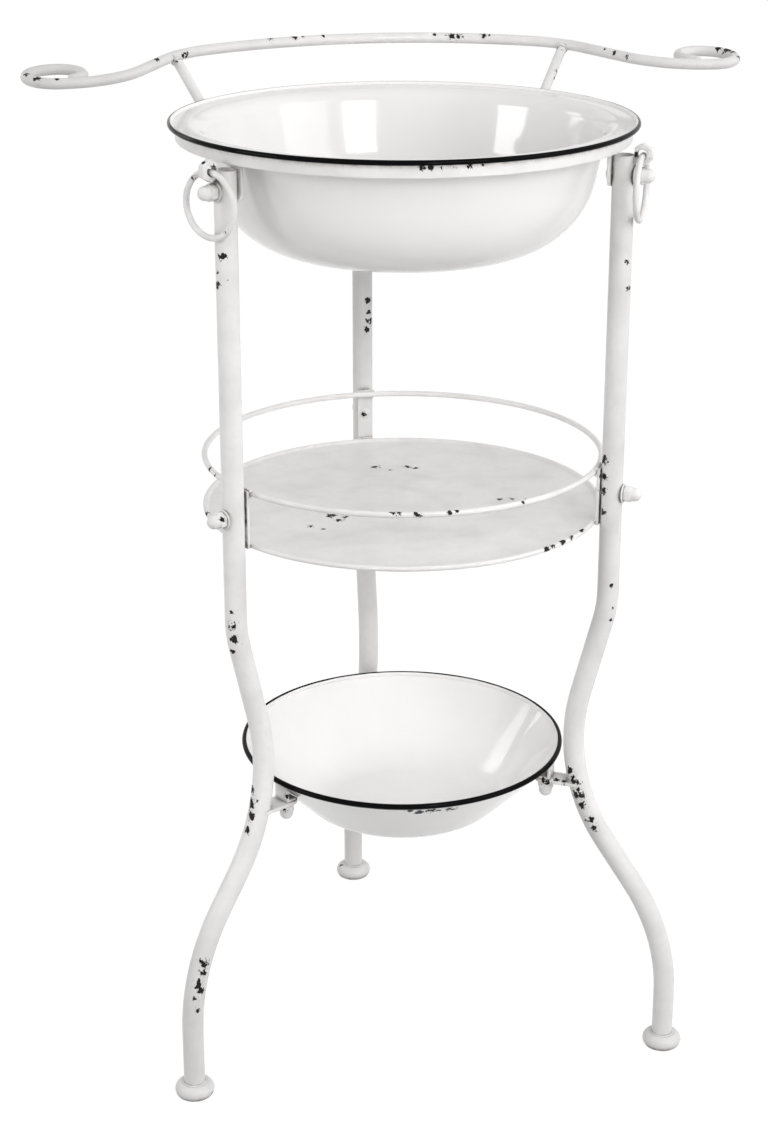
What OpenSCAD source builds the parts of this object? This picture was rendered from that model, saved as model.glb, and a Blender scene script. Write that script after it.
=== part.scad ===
// Iron wash basin stand: three bent tube legs on bun feet carry a hoop with an
// enamelled basin, a round tray with a guard ring, and a second, smaller bowl.
// A scrolled towel rail rises behind the basin and a loose ring hangs on each
// front leg. Millimetres, +Z up, front towards -Y. The origin is on the floor,
// on the upright axis that both basins, the hoop and the tray share.

/* [Legs] */
// Outside diameter of the leg tube
leg_od = 19; // [15:0.1:24]
// Wall of the leg tube
leg_wall = 1.5; // [1:0.1:2.5]
// Radius of the circle on which the straight tops of the legs stand
leg_circle_r = 191.4; // [189:0.1:193]
// Radius of the leg centre line at the waist
waist_r = 164.6; // [162:0.1:170]
// Height of the waist
waist_z = 306.5; // [300:0.5:315]
// Distance of the left foot from the stand's axis
foot_left_r = 251.5; // [248:0.5:266]
// Distance of the right foot from the stand's axis
foot_right_r = 259; // [248:0.5:266]
// Distance of the back foot from the stand's axis
foot_back_r = 255; // [248:0.5:266]
// Height of the open leg tops
leg_top_z = 835.5; // [820:0.5:840]
// Lean of the leg from the shoulder in to the waist, degrees
lean_in = 14; // [11:0.5:18]
// Lean of the leg from the waist out to the ankle, degrees
lean_out = 35; // [32:0.5:37]
// Bend radius at the shoulder, on the centre line
shoulder_bend_r = 115; // [60:1:130]
// Bend radius at the waist, on the centre line
waist_bend_r = 178; // [150:1:190]
// Bend radius at the ankle, on the centre line
ankle_bend_r = 190; // [150:1:200]

/* [Feet] */
// Widest diameter of a bun foot
foot_od = 35.6; // [32:0.1:42]
// Height of a bun foot
foot_h = 12.4; // [11:0.1:18]
// Diameter of the thin lip round the base of a foot
foot_lip_od = 32; // [28:0.1:34]
// Height of that lip
foot_lip_h = 1.4; // [1:0.1:3]
// Height of the floor of the socket that takes the tube
foot_socket_z = 4; // [3:0.5:8]

/* [Upper basin] */
// Diameter over the rolled black rim
basin_rim_od = 400; // [396:1:410]
// Diameter of the rolled rim's bead
basin_bead_d = 4.4; // [3.6:0.1:6]
// Thickness of the enamelled sheet, of both bowls
sheet_t = 1.6; // [1:0.1:2.4]
// Height of the middle of the rim bead
basin_rim_z = 854.1; // [848:0.1:862]
// Outside radius of the basin wall just under its flange
basin_neck_r = 170.8; // [164:0.1:172]
// Bend radius from the flange into the wall, outside
basin_shoulder_r = 13; // [9:0.5:16]
// Draft of the basin wall, degrees
basin_draft = 11.6; // [6:0.1:16]
// Outside radius of the curve from wall to base
basin_corner_r = 78; // [50:1:85]
// Height of the underside of the basin
basin_base_z = 744.3; // [735:0.1:755]

/* [Hoop] */
// Outside radius of the flat-iron hoop
hoop_r = 193.5; // [193:0.1:195]
// Thickness of the hoop
hoop_t = 3; // [2:0.1:4]
// Height of the hoop's lower edge
hoop_z = 841; // [838:0.1:844]
// Gap left between the basin's flange and the hoop it rests on
seat_gap = 0.2; // [0.1:0.05:0.5]
// Width of the three tabs that hang from the hoop
hoop_tab_w = 17; // [14:0.5:18]
// Thickness of a tab
hoop_tab_t = 3; // [2:0.1:4]
// Height of the rounded lower end of a tab
hoop_tab_z = 809; // [800:0.5:809.5]

/* [Tray] */
// Height of the middle of the tray's rolled edge
tray_rim_z = 514.3; // [500:0.1:525]
// Diameter of the tray's rolled edge
tray_bead_d = 4.6; // [3.6:0.1:6]
// Thickness of the tray sheet
tray_t = 1.2; // [0.8:0.1:2]
// Height of the guard ring
guard_z = 561.4; // [555:0.1:575]
// Diameter of the guard ring's rod
guard_d = 5.2; // [4:0.1:7]
// Width of the three straps from tray to guard ring
strap_w = 14; // [12:0.5:18]
// Thickness of a strap
strap_t = 2.8; // [2:0.1:4]
// How far a strap stands above the guard ring's middle
strap_over = 2.4; // [1:0.1:8]

/* [Lower bowl] */
// Diameter over the rolled black rim
bowl_rim_od = 299; // [296:0.1:302]
// Diameter of that rim's bead
bowl_bead_d = 5; // [3.6:0.1:6]
// Height of the middle of the rim bead
bowl_rim_z = 280; // [276:0.1:284]
// Slope of the bowl's wall from upright, degrees
bowl_draft = 44.5; // [43:0.1:46]
// Outside radius of the curve from wall to base
bowl_corner_r = 46; // [25:1:60]
// Height of the underside of the bowl
bowl_base_z = 212; // [205:0.1:220]
// Height of the top face of the three lugs
lug_z = 261; // [258:0.1:262]
// Thickness of a lug
lug_t = 3; // [2:0.1:4]
// Width of a lug
lug_w = 20; // [18:0.5:24]
// Radius of the circle of the studs that pass through the lugs
stud_r = 139.6; // [138.5:0.1:139.7]
// Width of the bent tabs under the bowl's rim
bowl_tab_w = 17; // [14:0.5:18]
// Thickness of a bent tab
bowl_tab_t = 2.4; // [1.6:0.1:2.5]
// How far inside the middle of the rim bead a tab's outer face stands
bowl_tab_in = 1.6; // [1.4:0.1:2]

/* [Fasteners] */
// Diameter of the bolts
bolt_d = 8; // [6:0.1:8]
// Diameter of a bolt's round head
bolt_head_d = 11.6; // [10:0.1:11.8]
// Height of a bolt's round head
bolt_head_h = 2.6; // [2:0.1:3]
// Width of an acorn nut across its flats
nut_flats = 13; // [11:0.1:14]
// Height of the nut's hexagon
nut_hex_h = 6.5; // [5:0.1:7]
// Diameter of the nut's dome
nut_dome_d = 12; // [10:0.1:12.8]
// Whole height of an acorn nut
nut_h = 15.4; // [14:0.1:17]
// Diameter of a washer
washer_d = 17; // [14.5:0.1:18]
// Thickness of a washer
washer_t = 1.6; // [1:0.1:2]
// Height of the bolts through the hoop's tabs
top_bolt_z = 819; // [817:0.1:819.4]
// Height of the bolts through the tray's straps
shelf_bolt_z = 542; // [535:0.5:545]

/* [Hanging rings] */
// Diameter of the ring's rod
ring_rod_d = 5.3; // [4:0.1:6]
// Diameter of the ring on its centre line
ring_d = 53; // [50:0.5:58]
// Hole of the eye that carries the ring
eye_hole_d = 8.6; // [7.8:0.1:9.4]
// Width of the six-sided eye across its flats
eye_flats = 16.4; // [14:0.1:16.8]
// Thickness of the eye
eye_t = 6.4; // [3:0.1:7]
// Distance of the middle of the eye's hole from the outside of the leg
eye_out = 5.9; // [5.7:0.1:7]
// Height of the middle of the eye's hole
eye_z = 836.6; // [836.3:0.1:837.5]
// Turn of the left ring about the upright, as it hangs, degrees
left_swivel = 9; // [0:0.5:12]
// Turn of the right ring about the upright, as it hangs, degrees
right_swivel = 3; // [0:0.5:12]

/* [Towel rail] */
// Diameter of the rail's rod
rail_d = 9.5; // [8:0.1:11]
// Distance of the rail's back from the stand's axis
rail_back_y = 216.5; // [213:0.5:225]
// Height of the rail at the back
rail_back_z = 893; // [885:0.5:910]
// Fall of the rail's plane towards the front, degrees
rail_fall = 4.6; // [0:0.1:6]
// How far the rail sits to the right of the stand's middle
rail_shift = 8; // [0:0.5:10]
// Bend radius of the long back bow
bow_r = 397; // [360:1:450]
// Half angle of the back bow, degrees
bow_half = 22; // [20:0.5:24]
// Bend radius where the bow turns forward
turn_r = 97; // [80:1:115]
// Direction of the straight side arms, degrees from the back bow's middle
arm_dir = 57; // [52:0.5:60]
// Length of the straight side arms
arm_len = 46.5; // [40:0.5:60]
// Bend radius where an arm runs out into its scroll
sweep_r = 86; // [75:1:95]
// Bend radius of the scroll's outer turn
scroll_r = 27; // [24:0.5:32]
// Bend radius of the scroll's inner curl
curl_r = 22; // [18:0.5:23]
// Turn of the inner curl, degrees
curl_turn = 147; // [90:1:155]
// Diameter of the two struts under the rail
strut_d = 8.8; // [7:0.1:9]
// Direction of a strut's foot on the hoop, degrees from the side
strut_foot_dir = 39; // [35:0.5:43]
// Height at which a strut's axis leaves the hoop
strut_foot_z = 846; // [845.4:0.1:846.2]
// Length of the level start of a strut, before it bends up
strut_stub = 1.2; // [0.8:0.1:2]
// Bend radius of a strut, on the centre line
strut_bend_r = 12; // [10:0.5:12.5]
// Place of the left strut's head in the rail's end bend, degrees from the middle
left_head_dir = 47; // [38:0.5:48]
// Place of the right strut's head in the rail's end bend, degrees from the middle
right_head_dir = 42.5; // [38:0.5:48]

/* [Hidden] */
$fn = 64;
lap = 0.3;              // a straight run reaches this far into the bend it joins
lap_step = 0.03;        // a bend stands this much prouder than its straight runs
hole_gap = 0.2;         // a bolt hole is this much wider than its bolt
nut_gap = 0.1;          // a nut's bore is this much wider than its bolt
ring_hang_gap = 0.45;   // between the ring's rod and the bottom of the eye's hole
bowl_gap = 0.4;         // between the bowl's wall and the end of a lug
left_dir = 210;
right_dir = 330;
back_dir = 90;
paint = "#e4e2df";
enamel = "#f4f3f1";
black_enamel = "#1d1b1c";

// Faces that other pieces sit on, as radii in a leg's own upright plane
leg_inner_r = leg_circle_r - leg_od / 2;
leg_outer_r = leg_circle_r + leg_od / 2;
strap_inner_r = leg_inner_r - strap_t;

// The leg's centre line: bend centres, ends of bends and lengths between
waist_top = [waist_r + waist_bend_r * (1 - cos(lean_in)), waist_z + waist_bend_r * sin(lean_in)];
waist_end = [waist_r + waist_bend_r * (1 - cos(lean_out)), waist_z - waist_bend_r * sin(lean_out)];
upper_run = (leg_circle_r - shoulder_bend_r * (1 - cos(lean_in)) - waist_top[0]) / sin(lean_in);
shoulder_z = waist_top[1] + upper_run * cos(lean_in) + shoulder_bend_r * sin(lean_in);
function lower_run(foot_r) = (foot_r - ankle_bend_r * (1 - cos(lean_out)) - waist_end[0]) / sin(lean_out);
function ankle_z(foot_r) = waist_end[1] - lower_run(foot_r) * cos(lean_out) - ankle_bend_r * sin(lean_out);

// Upper basin: underside of the flange, and the wall's run to the corner
flange_z = basin_rim_z - 0.4 * basin_bead_d;
hoop_h = flange_z - seat_gap - hoop_z;
basin_shoulder_c = [basin_neck_r + basin_shoulder_r * cos(basin_draft), flange_z - basin_shoulder_r];
basin_wall_top = basin_shoulder_c + basin_shoulder_r * [-cos(basin_draft), sin(basin_draft)];
basin_corner_z = basin_base_z + basin_corner_r;
basin_wall_end_z = basin_corner_z - basin_corner_r * sin(basin_draft);
basin_wall_end_r = basin_wall_top[0] - (basin_wall_top[1] - basin_wall_end_z) * tan(basin_draft);
basin_flat_r = basin_wall_end_r - basin_corner_r * cos(basin_draft);

// Lower bowl: its wall starts inside the bead
bowl_bead_r = bowl_rim_od / 2 - bowl_bead_d / 2;
bowl_wall_top = [bowl_bead_r, bowl_rim_z - bowl_bead_d / 2];
bowl_corner_z = bowl_base_z + bowl_corner_r;
bowl_wall_end_z = bowl_corner_z - bowl_corner_r * sin(bowl_draft);
bowl_wall_end_r = bowl_wall_top[0] - (bowl_wall_top[1] - bowl_wall_end_z) * tan(bowl_draft);
bowl_flat_r = bowl_wall_end_r - bowl_corner_r * cos(bowl_draft);
bowl_r_at_lug = bowl_wall_top[0] - (bowl_wall_top[1] - lug_z) * tan(bowl_draft);

// Ring and eye: the rod hangs near the bottom of the hole
eye_r = leg_outer_r + eye_out;
ring_top_z = eye_z - eye_hole_d / 2 + ring_rod_d / 2 + ring_hang_gap;
ring_z = ring_top_z - ring_d / 2;

// Fasteners: a nut's flats stand this far apart at the corners
nut_corners = nut_flats / cos(30);

// Half of the towel rail, each stretch as its start point and heading
bow_end = [bow_r * sin(bow_half), -bow_r * (1 - cos(bow_half))];
turn_end = bow_end + turn_r * [sin(arm_dir) - sin(bow_half), cos(arm_dir) - cos(bow_half)];
arm_end = turn_end + arm_len * [cos(arm_dir), -sin(arm_dir)];
sweep_end = arm_end + sweep_r * [sin(arm_dir), cos(arm_dir) - 1];
scroll_end = sweep_end + [0, 2 * scroll_r];

// ---- placing ----

// In a leg's upright plane: x is the distance from the axis, y runs across
module at_leg(dir) {
    rotate([0, 0, dir]) children();
}

module at_every_leg() {
    for (dir = [left_dir, right_dir, back_dir]) {
        at_leg(dir) children();
    }
}

// Turns +Z to point outwards, for bolts through a leg
module radial(z, r) {
    translate([r, 0, z]) rotate([0, 90, 0]) children();
}

// ---- bent rod and tube ----

// A bend in the upright plane: centre, radius, first angle and sweep
module upright_bend(centre, r, from, sweep, d) {
    translate([centre[0], 0, centre[1]]) rotate([90, 0, 0]) rotate([0, 0, from])
        rotate_extrude(angle = sweep, $fn = 96) translate([r, 0]) circle(d = d + 2 * lap_step);
}

// A straight run between two bends, falling from a point with a lean from upright
module falling_run(start, lean, length, d) {
    translate([start[0], 0, start[1]]) rotate([0, 180 - lean, 0]) translate([0, 0, -lap])
        cylinder(d = d, h = length + 2 * lap);
}

module waist_bend(d) {
    upright_bend([waist_r + waist_bend_r, waist_z], waist_bend_r, 180 - lean_in, lean_in + lean_out, d);
}

// The whole bent leg as a solid rod of diameter d, from height top to height bottom
module leg_rod(foot_r, d, top, bottom) {
    shoulder_c = [leg_circle_r - shoulder_bend_r, shoulder_z];
    shoulder_end = shoulder_c + shoulder_bend_r * [cos(lean_in), -sin(lean_in)];
    ankle_c = [foot_r - ankle_bend_r, ankle_z(foot_r)];
    translate([leg_circle_r, 0, shoulder_z - lap]) cylinder(d = d, h = top - shoulder_z + lap);
    upright_bend(shoulder_c, shoulder_bend_r, -lean_in, lean_in, d);
    falling_run(shoulder_end, -lean_in, upper_run, d);
    waist_bend(d);
    falling_run(waist_end, lean_out, lower_run(foot_r), d);
    upright_bend(ankle_c, ankle_bend_r, 0, lean_out, d);
    translate([foot_r, 0, bottom]) cylinder(d = d, h = ankle_z(foot_r) - bottom + lap);
}

// A bend lying flat: centre, radius, first angle and sweep
module flat_bend(centre, r, from, sweep, d) {
    translate([centre[0], centre[1], 0]) rotate([0, 0, from])
        rotate_extrude(angle = sweep, $fn = 96) translate([r, 0]) circle(d = d);
}

// A bend that is a little slimmer and laps into the full bends at both its ends
module lapped_bend(centre, r, from, sweep, d) {
    lap_angle = lap / r * 180 / PI;
    flat_bend(centre, r, from - lap_angle, sweep + 2 * lap_angle, d - 2 * lap_step);
}

// ---- sections of spun sheet ----

// A wedge with its point at the origin, from one angle to another
module wedge(from, to, r) {
    middle = (from + to) / 2;
    polygon([
        [0, 0],
        r * [cos(from), sin(from)],
        r * [cos(middle), sin(middle)],
        r * [cos(to), sin(to)]
    ]);
}

// A curved strip of sheet: outside radius, thickness and the angles it spans
module sheet_bend(centre, outer_r, t, from, to) {
    translate(centre) intersection() {
        difference() {
            circle(r = outer_r + lap_step, $fn = 128);
            circle(r = outer_r - t - lap_step, $fn = 128);
        }
        wedge(from, to, 2 * outer_r);
    }
}

// A straight strip of sheet, its thickness on the left of the way from a to b,
// that laps into the bends at both its ends
module sheet_run(a, b, t) {
    along = (b - a) / norm(b - a);
    side = [-along[1], along[0]] * t;
    start = a - along * lap;
    end = b + along * lap;
    polygon([start, end, end + side, start + side]);
}

// ---- fasteners, along +Z from the face they sit on ----

module washer() {
    difference() {
        cylinder(d = washer_d, h = washer_t);
        translate([0, 0, -1]) cylinder(d = bolt_d + 2 * hole_gap, h = washer_t + 2);
    }
}

module acorn_nut() {
    dome_z = nut_h - nut_dome_d / 2;
    difference() {
        union() {
            intersection() {
                rotate([0, 0, 30]) cylinder(d = nut_corners, h = nut_hex_h, $fn = 6);
                // Turned chamfer on the hexagon's outer corners
                cylinder(d1 = nut_corners + nut_hex_h * 1.2, d2 = nut_flats, h = nut_hex_h);
            }
            cylinder(d = nut_dome_d, h = dome_z);
            translate([0, 0, dome_z]) sphere(d = nut_dome_d);
        }
        translate([0, 0, -1]) cylinder(d = bolt_d + 2 * nut_gap, h = dome_z + 1);
    }
}

// A round-headed bolt, its head below z = 0 and its shank above
module bolt(grip) {
    head_r = (bolt_head_d * bolt_head_d / 4 + bolt_head_h * bolt_head_h) / (2 * bolt_head_h);
    cylinder(d = bolt_d, h = grip + nut_hex_h);
    mirror([0, 0, 1]) rotate_extrude() intersection() {
        translate([0, bolt_head_h - head_r]) circle(r = head_r, $fn = 128);
        square([bolt_head_d / 2, bolt_head_h]);
    }
}

module leg_bolt_hole(z) {
    radial(z, 0) cylinder(d = bolt_d + 2 * hole_gap, h = 2 * leg_circle_r);
}

// ---- legs and feet ----

module leg(dir, foot_r) {
    color(paint) at_leg(dir) difference() {
        leg_rod(foot_r, leg_od, leg_top_z, foot_socket_z);
        leg_rod(foot_r, leg_od - 2 * leg_wall, leg_top_z + 1, foot_socket_z - 1);
        leg_bolt_hole(top_bolt_z);
        leg_bolt_hole(shelf_bolt_z);
    }
}

// A turned bun with a thin lip at the floor and a socket for the tube
module foot(dir, foot_r) {
    bun_r = foot_h * 0.565;
    color(paint) at_leg(dir) translate([foot_r, 0, 0]) difference() {
        rotate_extrude() union() {
            intersection() {
                translate([foot_od / 2 - bun_r, foot_h - bun_r]) circle(r = bun_r);
                square([foot_od, foot_h]);
            }
            square([foot_od / 2 - bun_r, foot_h]);
            square([foot_lip_od / 2, foot_lip_h]);
        }
        translate([0, 0, foot_socket_z]) cylinder(d = leg_od, h = foot_h);
    }
}

// ---- upper basin and the hoop that holds it ----

module upper_basin() {
    flange_r = basin_rim_od / 2 - basin_bead_d / 2;
    color(enamel) rotate_extrude($fn = 180) {
        translate([basin_shoulder_c[0] - lap, flange_z])
            square([flange_r - basin_shoulder_c[0] + lap, sheet_t]);
        sheet_bend(basin_shoulder_c, basin_shoulder_r + sheet_t, sheet_t, 90, 180 - basin_draft);
        sheet_run([basin_wall_end_r, basin_wall_end_z], basin_wall_top, sheet_t);
        sheet_bend([basin_flat_r, basin_corner_z], basin_corner_r, sheet_t, -90, -basin_draft);
        translate([0, basin_base_z]) square([basin_flat_r + lap, sheet_t]);
    }
    color(black_enamel) translate([0, 0, basin_rim_z]) rotate_extrude($fn = 180)
        translate([flange_r, 0]) circle(d = basin_bead_d);
}

module basin_hoop() {
    color(paint) translate([0, 0, hoop_z]) difference() {
        cylinder(r = hoop_r, h = hoop_h, $fn = 180);
        translate([0, 0, -1]) cylinder(r = hoop_r - hoop_t, h = hoop_h + 2, $fn = 180);
    }
}

// A flat tab welded inside the hoop, joggled in to pass down inside the leg
module hoop_tab(dir) {
    hoop_inner_r = hoop_r - hoop_t;
    joggle_low = leg_top_z + 0.3;
    joggle_high = leg_inner_r < hoop_inner_r ? hoop_z + 3 : hoop_z;
    joggle_tilt = atan2(hoop_inner_r - leg_inner_r, joggle_high - joggle_low);
    mitre = hoop_tab_t * tan(joggle_tilt / 2);
    top = hoop_z + hoop_h;
    color(paint) at_leg(dir) difference() {
        intersection() {
            rotate([90, 0, 0]) linear_extrude(hoop_tab_w, center = true) polygon([
                [leg_inner_r, hoop_tab_z],
                [leg_inner_r, joggle_low],
                [hoop_inner_r, joggle_high],
                [hoop_inner_r, top],
                [hoop_inner_r - hoop_tab_t, top],
                [hoop_inner_r - hoop_tab_t, joggle_high + mitre],
                [leg_inner_r - hoop_tab_t, joggle_low + mitre],
                [leg_inner_r - hoop_tab_t, hoop_tab_z]
            ]);
            // Rounded lower end
            union() {
                radial(hoop_tab_z + hoop_tab_w / 2, 0) cylinder(d = hoop_tab_w, h = 2 * leg_circle_r);
                translate([0, -hoop_tab_w / 2, hoop_tab_z + hoop_tab_w / 2])
                    cube([2 * leg_circle_r, hoop_tab_w, top - hoop_tab_z]);
            }
            // Curved to the hoop's inside
            union() {
                translate([0, 0, hoop_z]) cylinder(r = hoop_inner_r, h = hoop_h + 1, $fn = 180);
                cylinder(r = 2 * leg_circle_r, h = hoop_z);
            }
        }
        leg_bolt_hole(top_bolt_z);
    }
}

module top_bolts() {
    color(paint) at_every_leg() radial(top_bolt_z, leg_inner_r - hoop_tab_t)
        bolt(hoop_tab_t + leg_od + washer_t);
}

module top_washers() {
    color(paint) at_every_leg() radial(top_bolt_z, leg_outer_r) washer();
}

module top_acorn_nuts() {
    color(paint) at_every_leg() radial(top_bolt_z, leg_outer_r + washer_t) acorn_nut();
}

// ---- hanging rings ----

// A six-sided eye, one corner up, coped to the outside of a leg's open top
module eye(dir) {
    color(paint) at_leg(dir) difference() {
        translate([eye_r, 0, eye_z]) rotate([90, 0, 0]) linear_extrude(eye_t, center = true)
            rotate(30) circle(d = eye_flats / cos(30), $fn = 6);
        translate([leg_circle_r, 0, eye_z - eye_flats]) cylinder(d = leg_od, h = 2 * eye_flats);
        translate([eye_r, 0, eye_z]) rotate([90, 0, 0]) cylinder(d = eye_hole_d, h = 2 * eye_t, center = true);
    }
}

module ring(dir, swivel) {
    color(paint) at_leg(dir) translate([eye_r, 0, ring_z]) rotate([0, 0, swivel]) rotate([0, 90, 0])
        rotate_extrude($fn = 96) translate([ring_d / 2, 0]) circle(d = ring_rod_d);
}

// ---- towel rail ----

// From the rail's own flat drawing, back bow at the origin, to its place
module in_rail_plane() {
    translate([rail_shift, rail_back_y, rail_back_z]) rotate([rail_fall, 0, 0]) children();
}

module rail_turn(d) {
    lapped_bend(bow_end - turn_r * [sin(bow_half), cos(bow_half)], turn_r, 90 - arm_dir, arm_dir - bow_half, d);
}

// The side arm and the scroll at its end
module rail_arm() {
    rail_turn(rail_d);
    translate([turn_end[0], turn_end[1], 0]) rotate([0, 0, -arm_dir]) rotate([0, 90, 0])
        cylinder(d = rail_d, h = arm_len);
    lapped_bend(sweep_end + [0, sweep_r], sweep_r, 270 - arm_dir, arm_dir, rail_d);
    flat_bend(sweep_end + [0, scroll_r], scroll_r, -90, 180, rail_d);
    lapped_bend(scroll_end - [0, curl_r], curl_r, 90, curl_turn, rail_d);
    // Rounded tip inside the scroll
    translate([scroll_end[0], scroll_end[1] - curl_r, 0])
        rotate([0, 0, 90 + curl_turn]) translate([curl_r, 0, 0]) sphere(d = rail_d);
}

module towel_rail() {
    color(paint) in_rail_plane() {
        flat_bend([0, -bow_r], bow_r, 90 - bow_half, 2 * bow_half, rail_d);
        rail_arm();
        mirror([1, 0, 0]) rail_arm();
    }
}

// A rod that leaves the hoop level, bends up clear of the basin's rim and is
// coped to the rail. side is 1 on the right and -1 on the left.
module rail_strut(side, head_dir) {
    strut_top = bow_end + turn_r * [sin(head_dir) - sin(bow_half), cos(head_dir) - cos(bow_half)];
    foot_point = hoop_r * [side * cos(strut_foot_dir), sin(strut_foot_dir)];
    head_point = [side * strut_top[0] + rail_shift, rail_back_y + strut_top[1] * cos(rail_fall)];
    reach = norm(head_point - foot_point);
    heading = atan2(head_point[1] - foot_point[1], head_point[0] - foot_point[0]);
    // In the strut's own upright plane: from the bend's middle to the rail
    bend_c = [strut_stub, strut_foot_z + strut_bend_r];
    to_rail = [reach, rail_back_z + strut_top[1] * sin(rail_fall)] - bend_c;
    rise = atan2(to_rail[1], to_rail[0]) + asin(strut_bend_r / norm(to_rail));
    run_start = bend_c + strut_bend_r * [sin(rise), -cos(rise)];
    run_len = sqrt(norm(to_rail) * norm(to_rail) - strut_bend_r * strut_bend_r);
    color(paint) difference() {
        translate([foot_point[0], foot_point[1], 0]) rotate([0, 0, heading]) {
            translate([-strut_d, 0, strut_foot_z]) rotate([0, 90, 0])
                cylinder(d = strut_d, h = strut_d + strut_stub + lap);
            upright_bend(bend_c, strut_bend_r, -90, rise, strut_d);
            translate([run_start[0], 0, run_start[1]]) rotate([0, 90 - rise, 0]) translate([0, 0, -lap])
                cylinder(d = strut_d, h = run_len + lap);
        }
        cylinder(r = hoop_r, h = rail_back_z, $fn = 180);
        in_rail_plane() mirror([side < 0 ? 1 : 0, 0, 0]) rail_turn(rail_d);
    }
}

// ---- tray and guard ring ----

module tray() {
    bead_r = strap_inner_r - tray_bead_d / 2;
    floor_z = tray_rim_z - 0.4 * tray_bead_d;
    color(paint) {
        translate([0, 0, floor_z]) cylinder(r = bead_r, h = tray_t, $fn = 180);
        translate([0, 0, tray_rim_z]) rotate_extrude($fn = 180) translate([bead_r, 0]) circle(d = tray_bead_d);
    }
}

module guard_ring() {
    color(paint) translate([0, 0, guard_z]) rotate_extrude($fn = 180)
        translate([strap_inner_r - guard_d / 2, 0]) circle(d = guard_d);
}

module strap(dir) {
    low = tray_rim_z - 0.4 * tray_bead_d;
    color(paint) at_leg(dir) difference() {
        translate([strap_inner_r, -strap_w / 2, low]) cube([strap_t, strap_w, guard_z + strap_over - low]);
        leg_bolt_hole(shelf_bolt_z);
    }
}

module shelf_bolts() {
    color(paint) at_every_leg() radial(shelf_bolt_z, strap_inner_r) bolt(strap_t + leg_od + washer_t);
}

module shelf_washers() {
    color(paint) at_every_leg() radial(shelf_bolt_z, leg_outer_r) washer();
}

module shelf_acorn_nuts() {
    color(paint) at_every_leg() radial(shelf_bolt_z, leg_outer_r + washer_t) acorn_nut();
}

// ---- lower bowl and its fixings ----

module lower_bowl() {
    color(enamel) rotate_extrude($fn = 180) {
        sheet_run([bowl_wall_end_r, bowl_wall_end_z], bowl_wall_top, sheet_t);
        sheet_bend([bowl_flat_r, bowl_corner_z], bowl_corner_r, sheet_t, -90, -bowl_draft);
        translate([0, bowl_base_z]) square([bowl_flat_r + lap, sheet_t]);
    }
    color(black_enamel) translate([0, 0, bowl_rim_z]) rotate_extrude($fn = 180)
        translate([bowl_bead_r, 0]) circle(d = bowl_bead_d);
}

// A bent tab from the bowl's rim down to its foot on a lug
module bowl_tab(dir) {
    plate_r = bowl_bead_r - bowl_tab_in;
    // The foot covers the stud under it and always reaches in past the plate
    foot_in_r = min(stud_r - bolt_d / 2 - 0.6, plate_r - 3 * bowl_tab_t);
    foot_out_r = max(stud_r + bolt_d / 2 + 0.6, plate_r);
    // The top is cut to the slope of the bowl's wall
    top = bowl_wall_top[1] - (bowl_wall_top[0] - plate_r) / tan(bowl_draft);
    color(paint) at_leg(dir) rotate([90, 0, 0]) linear_extrude(bowl_tab_w, center = true) union() {
        translate([foot_in_r, lug_z]) square([foot_out_r - foot_in_r, bowl_tab_t]);
        polygon([
            [plate_r, lug_z],
            [plate_r, top],
            [plate_r - bowl_tab_t, top - bowl_tab_t / tan(bowl_draft)],
            [plate_r - bowl_tab_t, lug_z]
        ]);
    }
}

// A flat lug welded to the leg, round-ended under the bowl's rim
module lug(dir) {
    color(paint) at_leg(dir) difference() {
        translate([0, 0, lug_z - lug_t]) union() {
            translate([stud_r, 0, 0]) cylinder(d = lug_w, h = lug_t);
            translate([stud_r, -lug_w / 2, 0]) cube([waist_r + leg_od / 2 - stud_r, lug_w, lug_t]);
        }
        translate([stud_r, 0, lug_z - lug_t - 1]) cylinder(d = bolt_d + 2 * hole_gap, h = lug_t + 2);
        waist_bend(leg_od);
        // Relieved to stand clear of the bowl's wall
        translate([0, 0, lug_z - 2 * lug_t]) cylinder(r = bowl_r_at_lug + bowl_gap, h = 3 * lug_t, $fn = 180);
        // Trimmed to the tube: nothing of the lug passes beyond the tube's middle
        translate([waist_r + leg_od / 3, -lug_w, lug_z - 2 * lug_t]) cube([2 * lug_w, 2 * lug_w, 3 * lug_t]);
    }
}

// Studs welded under the tabs' feet
module bowl_studs() {
    grip = lug_t + washer_t + nut_hex_h;
    color(paint) at_every_leg() translate([stud_r, 0, lug_z - grip]) cylinder(d = bolt_d, h = grip);
}

module bowl_washers() {
    color(paint) at_every_leg() translate([stud_r, 0, lug_z - lug_t]) mirror([0, 0, 1]) washer();
}

module bowl_acorn_nuts() {
    color(paint) at_every_leg() translate([stud_r, 0, lug_z - lug_t - washer_t]) mirror([0, 0, 1])
        acorn_nut();
}

leg(left_dir, foot_left_r);  // leg_left
leg(right_dir, foot_right_r);  // leg_right
leg(back_dir, foot_back_r);  // leg_back
foot(left_dir, foot_left_r);  // foot_left
foot(right_dir, foot_right_r);  // foot_right
foot(back_dir, foot_back_r);  // foot_back
upper_basin();
basin_hoop();
hoop_tab(left_dir);  // hoop_tab_left
hoop_tab(right_dir);  // hoop_tab_right
hoop_tab(back_dir);  // hoop_tab_back
top_bolts();
top_washers();
top_acorn_nuts();
eye(left_dir);  // eye_left
eye(right_dir);  // eye_right
ring(left_dir, left_swivel);  // ring_left
ring(right_dir, right_swivel);  // ring_right
towel_rail();
rail_strut(-1, left_head_dir);  // rail_strut_left
rail_strut(1, right_head_dir);  // rail_strut_right
tray();
guard_ring();
strap(left_dir);  // strap_left
strap(right_dir);  // strap_right
strap(back_dir);  // strap_back
shelf_bolts();
shelf_washers();
shelf_acorn_nuts();
lower_bowl();
bowl_tab(left_dir);  // bowl_tab_left
bowl_tab(right_dir);  // bowl_tab_right
bowl_tab(back_dir);  // bowl_tab_back
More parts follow.
